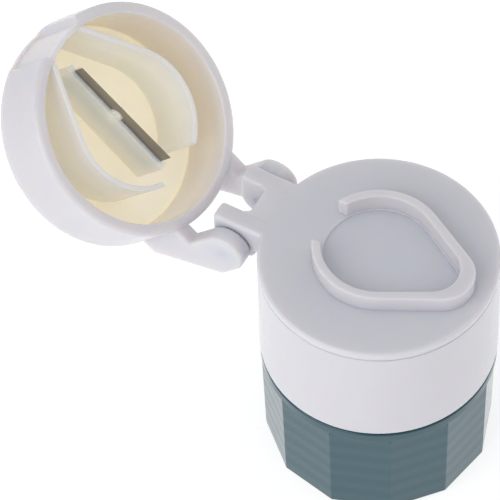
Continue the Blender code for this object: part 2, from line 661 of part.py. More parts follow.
# ---------------------------------------------------------------- assembly
def build():
    white = (0.74, 0.74, 0.78)
    teal = (0.094, 0.155, 0.19)
    steel = (0.20, 0.19, 0.18)
    axis = lid_axis()
    lid_mat = material("lid_plastic", white, 0.30)
    parts = [
        crusher_cup(material("cup_plastic", teal, 0.22)),
        crusher_screw(material("screw_plastic", white, 0.35)),
        press_foot(material("foot_plastic", white, 0.35)),
        foot_clip(material("clip_steel", (0.55, 0.55, 0.56), 0.3, 1.0)),
        head_body(material("body_plastic", white, 0.30)),
        cutter_table(material("table_plastic", (0.68, 0.68, 0.72), 0.30)),
        lid_shell(lid_mat, axis),
        blade(material("blade_steel", steel, 0.35, 1.0), axis),
        blade_clamp(material("clamp_plastic", white, 0.30), axis),
        hinge_pin(-1, material("pin_left_plastic", white, 0.35), axis),
        hinge_pin(1, material("pin_right_plastic", white, 0.35), axis),
    ]
    for part in parts:
        smooth_rounds(part.data)


build()
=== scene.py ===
"""Looks of the pill splitter: each piece rebuilt finely in the place of its plain solid."""
import json
import math

import bmesh
import bpy
from mathutils import Matrix, Vector


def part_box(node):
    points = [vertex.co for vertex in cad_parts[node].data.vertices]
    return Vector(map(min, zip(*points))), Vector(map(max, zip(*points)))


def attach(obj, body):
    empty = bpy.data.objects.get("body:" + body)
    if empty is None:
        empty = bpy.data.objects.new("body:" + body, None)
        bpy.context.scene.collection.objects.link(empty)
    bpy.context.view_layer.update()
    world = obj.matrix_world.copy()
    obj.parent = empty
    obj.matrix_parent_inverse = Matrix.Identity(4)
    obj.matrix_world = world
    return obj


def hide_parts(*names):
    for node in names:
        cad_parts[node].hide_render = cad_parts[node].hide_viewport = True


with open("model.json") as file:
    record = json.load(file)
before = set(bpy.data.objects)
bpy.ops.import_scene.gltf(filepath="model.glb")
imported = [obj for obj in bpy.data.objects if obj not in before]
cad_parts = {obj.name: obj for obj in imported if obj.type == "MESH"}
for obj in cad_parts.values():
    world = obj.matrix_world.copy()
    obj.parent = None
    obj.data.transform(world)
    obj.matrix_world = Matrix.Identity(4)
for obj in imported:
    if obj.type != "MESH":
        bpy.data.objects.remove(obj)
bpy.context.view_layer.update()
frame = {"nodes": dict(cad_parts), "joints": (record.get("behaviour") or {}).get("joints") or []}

# ------------------------------------------------------------------ crusher cup
# Grey-teal moulded cup: twelve drafted flats with softened corners, a plain round
# collar, a threaded bore and a ribbed floor. Lofted ring by ring in millimetres.
MM = 0.001
TURN = 2.0 * math.pi
cup_high, flats_high, cup_floor = 26.3, 24.1, 2.6
corner_low, corner_high, collar_r, bore_r = 21.8, 22.3, 22.42, 18.6
foot_round, collar_round = 0.6, 0.35
flats, first_corner, half_flat = 12, 4.65, 15.0
pitch, ridge_high = 4.0, 1.7
rib_count, rib_middle, rib_long = 8.0, 9.55, 14.1


def arc(cx, cy, radius, start, end, steps):
    """Points from start to end degrees on an arc, both included."""
    angles = [math.radians(start + (end - start) * i / steps) for i in range(steps + 1)]
    return [(cx + radius * math.cos(a), cy + radius * math.sin(a)) for a in angles]


def loft(solid, rings):
    """Closed skin through rings of equal count; a one-point ring ends in a fan."""
    rows = [[solid.verts.new(p) for p in ring] for ring in rings]
    for row, nxt in zip(rows, rows[1:]):
        if len(row) == len(nxt) == 1:
            continue
        for i in range(max(len(row), len(nxt))):
            j = (i + 1) % max(len(row), len(nxt))
            if len(row) == 1:
                solid.faces.new((row[0], nxt[i], nxt[j]))
            elif len(nxt) == 1:
                solid.faces.new((row[i], nxt[0], row[j]))
            else:
                solid.faces.new((row[i], nxt[i], nxt[j], row[j]))


def srgb(code):
    """Linear colour of a hex code."""
    channels = [int(code[i:i + 2], 16) / 255.0 for i in (1, 3, 5)]
    linear = [c / 12.92 if c <= 0.04045 else ((c + 0.055) / 1.055) ** 2.4 for c in channels]
    return (*linear, 1.0)


def add(tree, kind, inputs=None, **settings):
    """One node, its inputs set to values or linked from other nodes' outputs."""
    whole_name = kind.startswith(("Geometry", "NodeGroup"))
    node = tree.nodes.new(kind if whole_name else "ShaderNode" + kind)
    for key, value in settings.items():
        setattr(node, key, value)
    for key, value in (inputs or {}).items():
        if isinstance(value, bpy.types.NodeSocket):
            tree.links.new(value, node.inputs[key])
        else:
            node.inputs[key].default_value = value
    return node


def new_material(name):
    """Material with a bare Principled shader; returns it, its tree, shader and mm coordinates."""
    mat = bpy.data.materials.new(name)
    mat.use_nodes = True
    tree = mat.node_tree
    shader = tree.nodes["Principled BSDF"]
    place = add(tree, "TexCoord").outputs["Object"]
    in_mm = add(tree, "VectorMath", {0: place, "Scale": 1000.0}, operation="SCALE")
    return mat, tree, shader, in_mm.outputs[0]


def plastic(name, code, roughness, subsurface=0.0, relief_and_painted_bands=None, reach=(1.2, 1.0, 0.8),
            ior=1.5):
    """Glossy injection-moulded plastic: faint tone drift, fine grain, soft flow waves.

    Scales are in features per millimetre: the tone drifts over 14 mm, flow waves run over
    6 mm, the gloss smears over 2 mm and the grain, drawn coarse so that it shows, is 0.3 mm.
    """
    mat, tree, shader, spot = new_material(name)
    drift = add(tree, "TexNoise", {"Vector": spot, "Scale": 0.07, "Detail": 3.0})
    base = srgb(code)
    dark = tuple(c * 0.955 for c in base[:3]) + (1.0,)
    tone = add(tree, "MixRGB", {"Fac": drift.outputs["Fac"], "Color1": dark, "Color2": base})
    smear = add(tree, "TexNoise", {"Vector": spot, "Scale": 0.45, "Detail": 4.0})
    gloss = add(tree, "MapRange", {"Value": smear.outputs["Fac"], "From Min": 0.3,
                                   "From Max": 0.7, "To Min": roughness - 0.04,
                                   "To Max": roughness + 0.05})
    tree.links.new(gloss.outputs[0], shader.inputs["Roughness"])
    flow = add(tree, "TexNoise", {"Vector": spot, "Scale": 0.16, "Detail": 1.0})
    waves = add(tree, "Bump", {"Height": flow.outputs["Fac"], "Strength": 1.0,
                               "Distance": 0.00004})
    grain = add(tree, "TexNoise", {"Vector": spot, "Scale": 3.0, "Detail": 2.0})
    skin = add(tree, "Bump", {"Height": grain.outputs["Fac"], "Strength": 1.0,
                              "Distance": 0.0000025, "Normal": waves.outputs[0]})
    normal = skin.outputs[0]
    if relief_and_painted_bands is not None:
        bands = relief_and_painted_bands(tree, spot)
        normal = add(tree, "Bump", {"Height": bands, "Strength": 1.0,
                                    "Distance": 0.000012, "Normal": normal}).outputs[0]
        # Painted shade and light: the base colour is painted paler along the bands' crests.
        shade = add(tree, "MapRange", {"Value": bands, "From Min": -1.0, "To Min": 0.0,
                                       "To Max": 0.16}).outputs[0]
        painted_band_light = tuple(min(1.0, c * 1.9) for c in base[:3]) + (1.0,)
        tone = add(tree, "MixRGB", {"Fac": shade, "Color1": tone.outputs[0], "Color2": painted_band_light})
    tree.links.new(tone.outputs[0], shader.inputs["Base Color"])
    tree.links.new(normal, shader.inputs["Normal"])
    shader.inputs["IOR"].default_value = ior
    shader.inputs["Subsurface Weight"].default_value = subsurface
    shader.inputs["Subsurface Radius"].default_value = [depth * MM for depth in reach]
    shader.inputs["Subsurface Scale"].default_value = 1.0
    return mat


def finished(name, mesh, material, body, slot, *nodes, sharp=38.0):
    """Object of a mesh drawn in millimetres, shaded, on its body, in place of its nodes."""
    mesh.transform(Matrix.Scale(MM, 4))
    mesh.shade_smooth()
    mesh.set_sharp_from_angle(angle=math.radians(sharp))
    mesh.materials.clear()
    mesh.materials.append(material)
    obj = bpy.data.objects.new(name, mesh)
    bpy.context.scene.collection.objects.link(obj)
    even = obj.modifiers.new("even_shading", "WEIGHTED_NORMAL")
    even.keep_sharp = True
    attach(obj, body)
    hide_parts(*nodes)
    return obj


def cup_flats(corner_radius, z, soften=0.55):
    """Ring of the rounded twelve-sided outline at one height."""
    half = math.radians(half_flat)
    hub = (corner_radius * math.cos(half) - soften) / math.cos(half)
    ring = []
    for k in range(flats):
        corner = first_corner + 2.0 * half_flat * k
        a = math.radians(corner)
        ring += arc(hub * math.cos(a), hub * math.sin(a), soften, corner - half_flat,
                    corner + half_flat, 8)
        b = math.radians(corner + 2.0 * half_flat)
        start = ring[-1]
        end = (hub * math.cos(b) + soften * math.cos(b - half),
               hub * math.sin(b) + soften * math.sin(b - half))
        ring += [(start[0] + (end[0] - start[0]) * t / 8, start[1] + (end[1] - start[1]) * t / 8)
                 for t in range(1, 8)]
    return [(x, y, z) for x, y in ring]


def cup_round(radius, z):
    """Ring of a circle with its points on the same bearings as the flats' outline."""
    return [(x * radius / math.hypot(x, y), y * radius / math.hypot(x, y), z)
            for x, y, _ in cup_flats(22.0, 0.0)]


def sized_tree(name, *inputs):
    """Empty geometry tree with named number inputs and a material; returns it and its inputs."""
    tree = bpy.data.node_groups.new(name, "GeometryNodeTree")
    for word in inputs:
        tree.interface.new_socket(word, in_out="INPUT", socket_type="NodeSocketFloat")
    tree.interface.new_socket("Plastic", in_out="INPUT", socket_type="NodeSocketMaterial")
    tree.interface.new_socket("Shape", in_out="OUTPUT", socket_type="NodeSocketGeometry")
    return tree, add(tree, "NodeGroupInput").outputs


def close_tree(tree, shape, given):
    """Last nodes of a tree: instances made real and the given plastic set on them."""
    real = add(tree, "GeometryNodeRealizeInstances", {"Geometry": shape})
    coated = add(tree, "GeometryNodeSetMaterial", {"Geometry": real.outputs[0],
                                                   "Material": given["Plastic"]})
    add(tree, "NodeGroupOutput", {0: coated.outputs[0]})
    return tree


def grown(tree, sizes):
    """Plain mesh that a tree makes at the given sizes, in millimetres."""
    holder = bpy.data.objects.new(tree.name, bpy.data.meshes.new(tree.name))
    bpy.context.scene.collection.objects.link(holder)
    maker = holder.modifiers.new(tree.name, "NODES")
    maker.node_group = tree
    for item in tree.interface.items_tree:
        if item.in_out == "INPUT" and item.name in sizes:
            maker[item.identifier] = sizes[item.name]
    graph = bpy.context.evaluated_depsgraph_get()
    mesh = bpy.data.meshes.new_from_object(holder.evaluated_get(graph))
    bpy.data.objects.remove(holder, do_unlink=True)
    return mesh


def ridge_section(tree, height, root, crest, round_off):
    """Trapezoid with softened corners, its wide foot on the line that it is swept along."""
    section = add(tree, "GeometryNodeCurvePrimitiveQuadrilateral",
                  {"Height": height, "Bottom Width": root, "Top Width": crest, "Offset": 0.0},
                  mode="TRAPEZOID")
    soft = add(tree, "GeometryNodeFilletCurve", {"Curve": section.outputs[0],
                                                 "Radius": round_off, "Limit Radius": True,
                                                 "Count": 3}, mode="POLY")
    half = add(tree, "Math", {0: height, 1: 0.5}, operation="MULTIPLY")
    lift = add(tree, "CombineXYZ", {1: half.outputs[0]})
    return add(tree, "GeometryNodeTransform", {"Geometry": soft.outputs[0],
                                               "Translation": lift.outputs[0]}).outputs[0]


def thread_tree():
    """Helical ridge that fades in and out; a height below zero points it at the axis."""
    tree, given = sized_tree("thread", "Wall", "Height", "Root", "Crest", "Pitch", "Turns", "Start")
    lead = add(tree, "Math", {0: given["Pitch"], 1: given["Turns"]}, operation="MULTIPLY")
    helix = add(tree, "GeometryNodeCurveSpiral",
                {"Resolution": 72, "Rotations": given["Turns"], "Start Radius": given["Wall"],
                 "End Radius": given["Wall"], "Height": lead.outputs[0], "Reverse": True})
    level = add(tree, "GeometryNodeSetCurveNormal", {"Curve": helix.outputs[0]}, mode="Z_UP")
    size = add(tree, "Math", {0: given["Height"]}, operation="ABSOLUTE")
    section = ridge_section(tree, size.outputs[0], given["Root"], given["Crest"], 0.25)
    way = add(tree, "Math", {0: given["Height"]}, operation="SIGN")
    quarter = -TURN / 4.0
    turn = add(tree, "Math", {0: way.outputs[0], 1: quarter}, operation="MULTIPLY")
    spin = add(tree, "CombineXYZ", {2: turn.outputs[0]})
    laid = add(tree, "GeometryNodeTransform", {"Geometry": section, "Rotation": spin.outputs[0]})
    along = add(tree, "GeometryNodeSplineParameter").outputs["Factor"]
    turns_in = add(tree, "Math", {0: along, 1: given["Turns"]}, operation="MULTIPLY")
    turns_left = add(tree, "Math", {0: given["Turns"], 1: turns_in.outputs[0]},
                     operation="SUBTRACT")
    nearest = add(tree, "Math", {0: turns_in.outputs[0], 1: turns_left.outputs[0]},
                  operation="MINIMUM")
    fade = add(tree, "MapRange", {"Value": nearest.outputs[0], "From Max": 0.25,
                                  "To Min": 0.3})
    swept = add(tree, "GeometryNodeCurveToMesh",
                {"Curve": level.outputs[0], "Profile Curve": laid.outputs[0],
                 "Scale": fade.outputs[0], "Fill Caps": True})
    rise = add(tree, "CombineXYZ", {2: given["Start"]})
    placed = add(tree, "GeometryNodeTransform", {"Geometry": swept.outputs[0],
                                                 "Translation": rise.outputs[0]})
    return close_tree(tree, placed.outputs[0], given)


def ribs_tree():
    """Ring of straight ribs that lie along the radius, half a step off +X."""
    tree, given = sized_tree("grinding_ribs", "Count", "Length", "Middle", "Height", "Width",
                             "Floor")
    half = add(tree, "Math", {0: given["Length"], 1: 0.5}, operation="MULTIPLY")
    other = add(tree, "Math", {0: given["Length"], 1: -0.5}, operation="MULTIPLY")
    start = add(tree, "CombineXYZ", {0: other.outputs[0]})
    end = add(tree, "CombineXYZ", {0: half.outputs[0]})
    line = add(tree, "GeometryNodeCurvePrimitiveLine", {"Start": start.outputs[0],
                                                        "End": end.outputs[0]})
    foot_width = add(tree, "Math", {0: given["Width"], 1: 1.25}, operation="MULTIPLY")
    section = ridge_section(tree, given["Height"], foot_width.outputs[0], given["Width"], 0.15)
    upright = add(tree, "GeometryNodeTransform", {"Geometry": section,
                                                  "Rotation": (0.0, 0.0, TURN / 2.0)})
    rib = add(tree, "GeometryNodeCurveToMesh", {"Curve": line.outputs[0], "Fill Caps": True,
                                                "Profile Curve": upright.outputs[0]})
    ring = add(tree, "GeometryNodeMeshCircle", {"Vertices": given["Count"],
                                                "Radius": given["Middle"]})
    step = add(tree, "Math", {0: TURN, 1: given["Count"]}, operation="DIVIDE")
    index = add(tree, "GeometryNodeInputIndex").outputs[0]
    bearing = add(tree, "Math", {0: index, 1: step.outputs[0]}, operation="MULTIPLY")
    spin = add(tree, "CombineXYZ", {2: bearing.outputs[0]})
    ribs = add(tree, "GeometryNodeInstanceOnPoints",
               {"Points": ring.outputs[0], "Instance": rib.outputs[0],
                "Rotation": spin.outputs[0]})
    offset = add(tree, "Math", {0: step.outputs[0], 1: 0.5}, operation="MULTIPLY")
    turned_by = add(tree, "CombineXYZ", {2: offset.outputs[0]})
    down = add(tree, "CombineXYZ", {2: given["Floor"]})
    placed = add(tree, "GeometryNodeTransform",
                 {"Geometry": ribs.outputs[0], "Translation": down.outputs[0],
                  "Rotation": turned_by.outputs[0]})
    return close_tree(tree, placed.outputs[0], given)


def thread_shadow(tree, spot):
    """Slanted bands along the thread inside: shallow sink marks in the bump, and painted shade of
    the thread in the colour.
    """
    parts = add(tree, "SeparateXYZ", {0: spot})
    bearing = add(tree, "Math", {0: parts.outputs[1], 1: parts.outputs[0]}, operation="ARCTAN2")
    rise = add(tree, "Math", {0: parts.outputs[2], 1: TURN / pitch}, operation="MULTIPLY")
    phase = add(tree, "Math", {0: rise.outputs[0], 1: bearing.outputs[0]}, operation="SUBTRACT")
    return add(tree, "Math", {0: phase.outputs[0]}, operation="SINE").outputs[0]


# Dark grey-teal ABS from a polished mould: a sharp gloss that pales the flats that face the light,
# and faint
# slanted bands along the thread inside: shallow sink marks in the bump, and painted shade and light
# in the colour.
teal = plastic("moulded_teal_abs", "#124955", 0.12, relief_and_painted_bands=thread_shadow, ior=1.6)
cup = bmesh.new()
cup_rings = [[(0.0, 0.0, 0.0)], cup_flats(18.0, 0.0)]
cup_rings += [cup_flats(corner_low + r, foot_round + z)
              for r, z in arc(-foot_round, 0.0, foot_round, -90.0, 0.0, 5)]
cup_rings += [cup_flats(corner_low + (corner_high - corner_low) * z / flats_high, z)
              for z in (2.0, 8.0, 16.0, 22.8, flats_high - 0.2)]
cup_rings += [cup_round(collar_r - back, flats_high + z)
              for back, z in ((0.22, -0.1), (0.07, 0.0), (0.0, 0.2))]
cup_rings += [cup_round(collar_r + r, cup_high - collar_round + z)
              for r, z in arc(-collar_round, 0.0, collar_round, 0.0, 90.0, 5)]
cup_rings += [cup_round(bore_r + 0.2, cup_high), cup_round(bore_r, cup_high - 0.2)]
cup_rings += [cup_round(bore_r - back, cup_floor + z)
              for back, z in ((0.0, 1.0), (0.3, 0.3), (1.0, 0.0))]
cup_rings.append([(0.0, 0.0, cup_floor)])
loft(cup, cup_rings)
thread_maker = thread_tree()
ridge = {"Pitch": pitch, "Root": 1.9, "Crest": 1.0, "Height": ridge_high, "Plastic": teal}
cup.from_mesh(grown(thread_maker, ridge | {"Wall": bore_r + 0.4, "Height": -ridge_high,
                                           "Turns": 1.25, "Start": 19.1}))
cup.from_mesh(grown(ribs_tree(), {"Count": rib_count, "Length": rib_long, "Middle": rib_middle,
                                  "Width": 0.8, "Height": 0.85, "Floor": cup_floor - 0.25,
                                  "Plastic": teal}))
bmesh.ops.recalc_face_normals(cup, faces=cup.faces)
cup_mesh = bpy.data.meshes.new("cup")
cup.to_mesh(cup_mesh)
cup.free()
finished("cup", cup_mesh, teal, "cup", "cup_plastic", "crusher_cup")

# ------------------------------------------------------------------ crusher screw
# White moulded plunger that hangs in the cup: one turned profile with a coarse male thread
# grown on its wall. The white body's spigot plugs into its open top.


def turned(profile, steps=192):
    """Solid turned from a closed loop of (radius, z); points on the axis close it."""
    solid = bmesh.new()
    rings = []
    for r, z in profile:
        if r == 0.0:
            rings.append([(0.0, 0.0, z)])
        else:
            rings.append([(r * math.cos(TURN * i / steps), r * math.sin(TURN * i / steps), z)
                          for i in range(steps)])
    if profile[0][0] != 0.0:
        rings.append(rings[0])
    loft(solid, rings)
    bmesh.ops.remove_doubles(solid, verts=solid.verts, dist=1e-5)
    bmesh.ops.recalc_face_normals(solid, faces=solid.faces)
    return solid


def as_mesh(name, solid):
    """Mesh of a finished solid, which is freed."""
    mesh = bpy.data.meshes.new(name)
    solid.to_mesh(mesh)
    solid.free()
    return mesh


core_r, hollow_r, screw_low, screw_high, stem_hole_r = 17.0, 15.0, 7.2, 26.6, 3.3
screw_end = screw_low + 2.0
screw = turned([(core_r, screw_high), (core_r, screw_low + 0.6), (core_r - 0.2, screw_low + 0.15),
                (core_r - 0.6, screw_low), (stem_hole_r, screw_low), (stem_hole_r, screw_end),
                (hollow_r - 1.0, screw_end), (hollow_r, screw_end + 1.0), (hollow_r, screw_high)])
# White ABS from an unpolished mould: a duller, broader gloss than the outer pieces have.
hidden_white = plastic("moulded_inner_white_abs", "#dadade", 0.36, 0.1)
screw.from_mesh(grown(thread_maker, ridge | {"Wall": core_r - 0.4, "Turns": 3.25, "Start": 9.1,
                                             "Plastic": hidden_white}))
bmesh.ops.recalc_face_normals(screw, faces=screw.faces)
finished("screw", as_mesh("screw", screw), hidden_white, "head", "screw_plastic", "crusher_screw")

# ------------------------------------------------------------------ press foot and clip
# Plain moulded disc on a stem that presses the pill, held on the screw by a split washer
# of spring steel. Both stay inside the cup and keep the shapes of their solids.
foot = frame["nodes"]["press_foot"]
foot.data.materials.clear()
foot.data.materials.append(hidden_white)


def steel(name, code, roughness, along, stretch):
    """Ground steel with fine scratches that run along one axis, and a faint stain.

    Scratches are a sixth of a millimetre wide, coarser than real grinding so that they show.
    """
    mat, tree, shader, spot = new_material(name)
    scale = [1.0, 1.0, 1.0]
    scale[along] = stretch
    lines = add(tree, "VectorMath", {0: spot, 1: scale}, operation="MULTIPLY")
    scratch = add(tree, "TexNoise", {"Vector": lines.outputs[0], "Scale": 6.0, "Detail": 6.0})
    stain = add(tree, "TexNoise", {"Vector": spot, "Scale": 0.3, "Detail": 3.0})
    base = srgb(code)
    dark = tuple(c * 0.8 for c in base[:3]) + (1.0,)
    tone = add(tree, "MixRGB", {"Fac": stain.outputs["Fac"], "Color1": dark, "Color2": base})
    tree.links.new(tone.outputs[0], shader.inputs["Base Color"])
    gloss = add(tree, "MapRange", {"Value": scratch.outputs["Fac"], "To Min": roughness - 0.1,
                                   "To Max": roughness + 0.12})
    tree.links.new(gloss.outputs[0], shader.inputs["Roughness"])
    cuts = add(tree, "Bump", {"Height": scratch.outputs["Fac"], "Strength": 1.0,
                              "Distance": 0.000006})
    tree.links.new(cuts.outputs[0], shader.inputs["Normal"])
    shader.inputs["Metallic"].default_value = 1.0
    return mat


# Bright drawn spring steel: a soft mirror with drawing lines along it.
spring = steel("drawn_spring_steel", "#b9babc", 0.3, 0, 0.1)
clip = frame["nodes"]["foot_clip"]
clip.data.materials.clear()
clip.data.materials.append(spring)

# ------------------------------------------------------------------ white body
# Hollow white moulded cylinder with softened edges, a spigot below that plugs into the
# screw, and two slots in its upper edge for the roots of the table's lugs.


def slab(outline, low, high, soften=0.0, side="both", sideways=False):
    """Outline thickened from low to high, with softened rims; sideways runs it along X."""
    solid = bmesh.new()
    face = solid.faces.new([solid.verts.new((x, y, low)) for x, y in outline])
    raised = bmesh.ops.extrude_face_region(solid, geom=[face])
    tops = [g for g in raised["geom"] if isinstance(g, bmesh.types.BMVert)]
    bmesh.ops.translate(solid, verts=tops, vec=(0.0, 0.0, high - low))
    bmesh.ops.recalc_face_normals(solid, faces=solid.faces)
    if soften:
        wanted = {"both": (low, high), "top": (high,), "low": (low,)}[side]
        rims = []
        for edge in solid.edges:
            z0, z1 = (v.co.z for v in edge.verts)
            level = any(abs(z0 - w) < 1e-4 and abs(z1 - w) < 1e-4 for w in wanted)
            upright = abs(z0 - z1) > 1e-4 and edge.calc_face_angle() > math.radians(40.0)
            if level or upright:
                rims.append(edge)
        bmesh.ops.bevel(solid, geom=rims, offset=soften, segments=4, profile=0.5,
                        affect="EDGES", clamp_overlap=True)
    if sideways:
        turn = Matrix(((0, 0, 1, 0), (1, 0, 0, 0), (0, 1, 0, 0), (0, 0, 0, 1)))
        bmesh.ops.transform(solid, matrix=turn, verts=solid.verts)
        bmesh.ops.recalc_face_normals(solid, faces=solid.faces)
    return solid


def box_outline(x0, x1, y0, y1):
    """Four corners of an upright rectangle."""
    return [(x0, y0), (x1, y0), (x1, y1), (x0, y1)]


def each_side(near, far):
    """The same stretch of X on the left and on the right."""
    return (-far, -near), (near, far)


def combined(first, steps):
    """First solid with others joined to it or cut from it in turn; returns a plain mesh."""
    scene = bpy.context.scene.collection
    whole = bpy.data.objects.new("whole", as_mesh("whole", first))
    scene.objects.link(whole)
    tools = []
    for operation, solid in steps:
        tool = bpy.data.objects.new("tool", as_mesh("tool", solid))
        scene.objects.link(tool)
        boolean = whole.modifiers.new("step", "BOOLEAN")
        boolean.operation = operation
        boolean.object = tool
        tools.append(tool)
    graph = bpy.context.evaluated_depsgraph_get()
    mesh = bpy.data.meshes.new_from_object(whole.evaluated_get(graph))
    for obj in [whole] + tools:
        bpy.data.objects.remove(obj, do_unlink=True)
    return mesh


body_r, body_hollow, body_low, body_top, body_round = 22.5, 20.2, 26.9, 50.9, 0.3
spigot_r, spigot_low, spigot_wall, body_floor = 14.7, 21.9, 1.6, 28.9
slot_near, slot_far, slot_low = 2.8, 7.3, 46.2
body_side = body_r - body_round
body = turned([(body_side, body_top)]
              + [(body_side + r, body_top - body_round + z)
                 for r, z in arc(0.0, 0.0, body_round, 90.0, 0.0, 4)]
              + [(body_side + r, body_low + body_round + z)
                 for r, z in arc(0.0, 0.0, body_round, 0.0, -90.0, 4)]
              + [(spigot_r, body_low), (spigot_r, spigot_low), (spigot_r - spigot_wall, spigot_low),
                 (spigot_r - spigot_wall, body_low), (0.0, body_low), (0.0, body_floor),
                 (body_hollow - 1.5, body_floor), (body_hollow, body_floor + 1.5),
                 (body_hollow, body_top)])
slots = [("DIFFERENCE", slab(box_outline(*x, 16.2, 23.5), slot_low, body_top + 1.1))
         for x in each_side(slot_near, slot_far)]
# White ABS from a polished mould: cool milky white, soft gloss, light carried 2 mm deep.
white = plastic("moulded_white_abs", "#dad8de", 0.22, 0.6, reach=(2.6, 2.0, 1.5))
finished("white_body", combined(body, slots), white, "head", "body_plastic", "head_body")

# ------------------------------------------------------------------ cutter table
# White moulded top plate with a rolled edge, the teardrop fence round a slightly sunk
# pocket floor, two square-topped hinge lugs with a web between them, and a skirt that
# plugs into the body.
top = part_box("head_body")[1].z * 1000.0 + 1.8
hinge = Vector(frame["joints"][2]["pos_m"]) * 1000.0


def teardrop(radius, tip_radius, tip_y):
    """Closed outline of a round end on the axis and a smaller one towards -Y."""
    slope = math.degrees(math.asin((radius - tip_radius) / tip_y))
    points = arc(0.0, 0.0, radius, -slope, 180.0 + slope, 110)
    return points + arc(0.0, -tip_y, tip_radius, 180.0 + slope, 360.0 - slope, 60)


def open_fence(outer, inner, gap):
    """C-shaped outline between two teardrops, open on the +Y side."""
    def trimmed(radius, tip_radius, tip_y):
        slope = math.degrees(math.asin((radius - tip_radius) / tip_y))
        start = math.degrees(math.acos(gap / radius))
        points = arc(0.0, 0.0, radius, start, -slope, 30)
        points += arc(0.0, -tip_y, tip_radius, -slope, slope - 180.0, 26)
        return points + arc(0.0, 0.0, radius, slope - 180.0, -180.0 - start, 30)
    return trimmed(*outer) + trimmed(*inner)[::-1]


plate, plate_round = 1.5, 0.65
skirt_r, skirt_wall, skirt_end = 19.9, 1.5, top - 6.5
table = turned([(0.0, top), (15.0, top)]
               + [(body_r - plate_round + r, top - plate_round + z)
                  for r, z in arc(0.0, 0.0, plate_round, 90.0, 0.0, 8)]
               + [(body_r, top - plate + 0.1), (body_r - 0.1, top - plate), (skirt_r, top - plate),
                  (skirt_r, skirt_end), (skirt_r - skirt_wall, skirt_end),
                  (skirt_r - skirt_wall, top - plate), (0.0, top - plate)])
# Each drop is its round end's radius, its tip's radius and how far the tip is from the middle.
outer_drop, inner_drop, floor_inset = (12.4, 6.2, 13.2), (10.7, 5.35, 10.95), 0.3
pocket_deep, fence_high, fence_round, fence_gap = 0.4, 3.7, 0.28, 4.9
sunk = slab(teardrop(inner_drop[0] - floor_inset, inner_drop[1] - floor_inset, inner_drop[2]),
            top - pocket_deep, top + 1.0)
fence = slab(open_fence(outer_drop, inner_drop, fence_gap), top - 0.9, top + fence_high,
             fence_round, "top")
lug_near, lug_far, lug_root, lug_r, lug_round = 3.1, 7.0, 18.6, 4.1, 0.8
pin_r, pin_hole_r = 0.92, 0.95
lug_front, lug_heel, lug_top, lug_under = 31.5, 22.9, top - 0.03, top - 6.2
lug_side = [(lug_root, lug_top), (lug_front, lug_top)]
lug_side += arc(hinge.y, hinge.z, lug_r, 0.0, -100.0, 7)
lug_side += [(lug_heel, top - 8.0), (lug_heel, lug_under), (lug_root, lug_under)]
table_steps = [("DIFFERENCE", sunk), ("UNION", fence)]
for x in each_side(lug_near, lug_far):
    table_steps.append(("UNION", slab(lug_side, *x, lug_round, sideways=True)))
web_half, web_root, web_end, web_fillet = 3.6, 21.2, 26.7, 1.0
web_turn = lug_near - web_fillet
web = [(-web_half, web_root), (web_half, web_root), (web_half, web_end)]
web += arc(web_turn, web_end, web_fillet, 0.0, -90.0, 5)
web += arc(-web_turn, web_end, web_fillet, 270.0, 180.0, 5) + [(-web_half, web_end)]
table_steps.append(("UNION", slab(web, top - plate, top - 0.04, 0.15)))
pin_bore = arc(hinge.y, hinge.z, pin_hole_r, 0.0, 352.5, 47)
for x in each_side(2.4, 7.6):
    table_steps.append(("DIFFERENCE", slab(pin_bore, *x, sideways=True)))
# The same white ABS from a finer mould: a little brighter and glossier than the body.
table_white = plastic("polished_white_abs", "#dcdbe1", 0.18, 0.8, reach=(3.0, 2.3, 1.7))
finished("table", combined(table, table_steps), table_white, "head", "table_plastic",
         "cutter_table")

# ------------------------------------------------------------------ lid
# Glossy white moulded lid, drawn shut and swung open about the hinge: rolled edge,
# full-height guide walls that pass round the fence, inset wall at the thumb notch, a rib
# for the blade and two arms.
lid_open = math.radians(137.5)
swing = (Matrix.Translation(hinge) @ Matrix.Rotation(-lid_open, 4, "X")
         @ Matrix.Translation(-hinge))
rim = top + 0.3
crown = rim + 13.8
ceiling = crown - 1.2
lid_r, lid_hollow, crown_round, rim_round, lip_round, floor_round = 22.3, 20.0, 2.4, 1.0, 0.4, 0.6
knuckle_r, heel_r, arm_back, arm_slope = 4.2, 2.6, 6.1, 34.2
arm_near, arm_far, arm_round = 7.25, 10.7, 0.6
guide_r, guide_wall, guide_reach, guide_gap, guide_lean = 12.8, 1.0, 20.1, 5.5, 28.0
rib_low, rib_front, rib_back, rib_root = rim + 4.1, -15.0, 11.6, ceiling + 0.4
rib_side, blade_room, stop_long = 1.25, 0.19, 0.9
peg_y, peg_z, peg_r, peg_hole_r = -2.15, rim + 4.5, 1.25, 1.5
shell = turned([(0.0, crown)]
               + [(lid_r - crown_round + r, crown - crown_round + z)
                  for r, z in arc(0.0, 0.0, crown_round, 90.0, 0.0, 14)]
               + [(lid_r - rim_round + r, rim + rim_round + z)
                  for r, z in arc(0.0, 0.0, rim_round, 0.0, -90.0, 9)]
               + [(lid_hollow + lip_round + r, rim + lip_round + z)
                  for r, z in arc(0.0, 0.0, lip_round, -90.0, -180.0, 5)]
               + [(lid_hollow, ceiling - floor_round)]
               + [(lid_hollow - floor_round + r, ceiling - floor_round + z)
                  for r, z in arc(0.0, 0.0, floor_round, 10.0, 90.0, 5)]
               + [(0.0, ceiling)])


def guide_half(radius, reach):
    """Right half of a guide wall's line: the round stretch, then the run to the tip."""
    slope = math.radians(guide_lean)
    start = math.degrees(math.acos(guide_gap / radius))
    points = arc(0.0, 0.0, radius, start, -guide_lean, 34)
    run = (reach - radius * math.sin(slope)) / math.cos(slope)
    x, y = points[-1]
    return points + [(x - run * math.sin(slope), y - run * math.cos(slope))]


